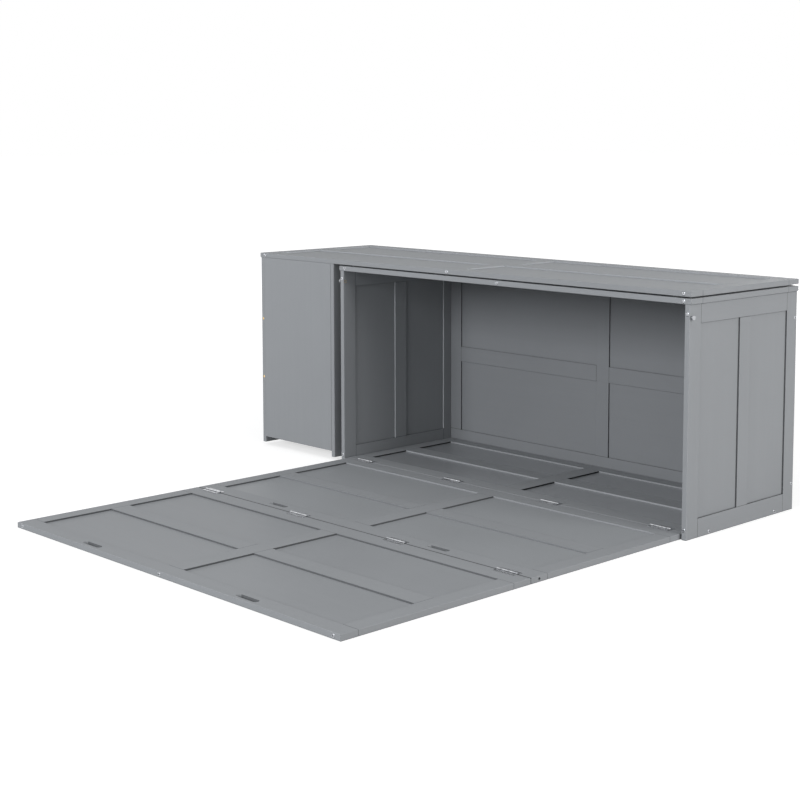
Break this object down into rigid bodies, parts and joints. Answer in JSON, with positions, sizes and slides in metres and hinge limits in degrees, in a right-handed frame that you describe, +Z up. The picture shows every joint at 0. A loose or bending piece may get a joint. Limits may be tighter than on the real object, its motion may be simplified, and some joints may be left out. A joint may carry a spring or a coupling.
{
  "type": "wall bed",
  "caption": "Low cabinet wall bed shown unfolded: a hinged framed deck lies on the floor before an open cabinet, under a pivoting desk top that carries a shelf pedestal.",
  "frame": {"origin": "middle of the cabinet's footprint, on the floor", "axes": "+Z up, +X to the right seen from the front, +Y to the wall behind the cabinet"},
  "size_m": [2.0985, 1.972, 0.771],
  "materials": {
    "frame_paint": "satin grey paint on wood, slight grain",
    "panel_paint": "satin grey paint on thin wood panel",
    "zinc": "bright zinc plate",
    "brass": "plain, machined",
    "nylon": "dark nylon",
    "beech": "plain beech dowel"
  },
  "bodies": {
    "cabinet": {"left_side_stiles": "frame_paint", "left_side_rails": "frame_paint", "left_side_panels": "panel_paint", "right_side_stiles": "frame_paint", "right_side_rails": "frame_paint", "right_side_panels": "panel_paint", "back_rails": "frame_paint", "back_stiles": "frame_paint", "back_panels": "panel_paint", "top_frame_rails": "frame_paint", "top_frame_stiles": "frame_paint", "top_frame_panels": "panel_paint", "rear_deck_rails": "frame_paint", "rear_deck_stiles": "frame_paint", "rear_deck_panels": "panel_paint", "rear_hinge_fixed_leaves": "zinc", "rear_hinge_pins": "zinc", "rear_deck_hinge_screws": "zinc", "cabinet_bolts": "zinc", "cabinet_barrel_nuts": "zinc", "joining_bolts": "zinc", "top_screws": "zinc", "lock_inserts": "brass", "pivot_bush": "nylon", "bearing_pads": "nylon"},
    "middle_section": {"middle_deck_rails": "frame_paint", "middle_deck_stiles": "frame_paint", "middle_deck_panels": "panel_paint", "rear_hinge_moving_leaves": "zinc", "front_hinge_fixed_leaves": "zinc", "front_hinge_pins": "zinc", "middle_deck_hinge_screws": "zinc", "middle_deck_bolts": "zinc", "middle_deck_barrel_nuts": "zinc"},
    "front_section": {"front_deck_rails": "frame_paint", "front_deck_stiles": "frame_paint", "front_deck_panels": "panel_paint", "front_hinge_moving_leaves": "zinc", "front_deck_hinge_screws": "zinc", "front_deck_bolts": "zinc", "front_deck_barrel_nuts": "zinc"},
    "desk": {"desk_rails": "frame_paint", "desk_stiles": "frame_paint", "desk_panels": "panel_paint", "pedestal_left_side": "frame_paint", "pedestal_right_side": "frame_paint", "pedestal_front": "frame_paint", "pedestal_bottom": "frame_paint", "pedestal_shelves": "frame_paint", "pedestal_back_rail": "frame_paint", "pedestal_glides": "nylon", "pedestal_screws": "zinc", "pedestal_edge_screws": "brass", "pedestal_dowels": "beech", "desk_bolts": "zinc", "desk_barrel_nuts": "zinc", "pivot_pin": "zinc", "pivot_nut": "zinc"},
    "left_lock": {"left_lock_screw": "zinc"},
    "right_lock": {"right_lock_screw": "zinc"}
  },
  "joints": [
    {"name": "platform_raise", "type": "hinge", "parent": "cabinet", "child": "middle_section", "pos_m": [0, -0.273, 0.021], "axis": [-1, 0, 0], "range_deg": [0, 88.3]},
    {"name": "front_fold", "type": "hinge", "parent": "middle_section", "child": "front_section", "pos_m": [0, -0.977, 0.021], "axis": [-1, 0, 0], "range_deg": [0, 165]},
    {"name": "desk_swing", "type": "hinge", "parent": "cabinet", "child": "desk", "pos_m": [0.514, 0, 0.75], "axis": [0, 0, 1], "range_deg": [-90, 0]},
    {"name": "left_lock_slide", "type": "slide", "parent": "cabinet", "child": "left_lock", "axis": [1, 0, 0], "range_m": [0, 0.0053]},
    {"name": "right_lock_slide", "type": "slide", "parent": "cabinet", "child": "right_lock", "axis": [-1, 0, 0], "range_m": [0, 0.0053]}
  ]
}
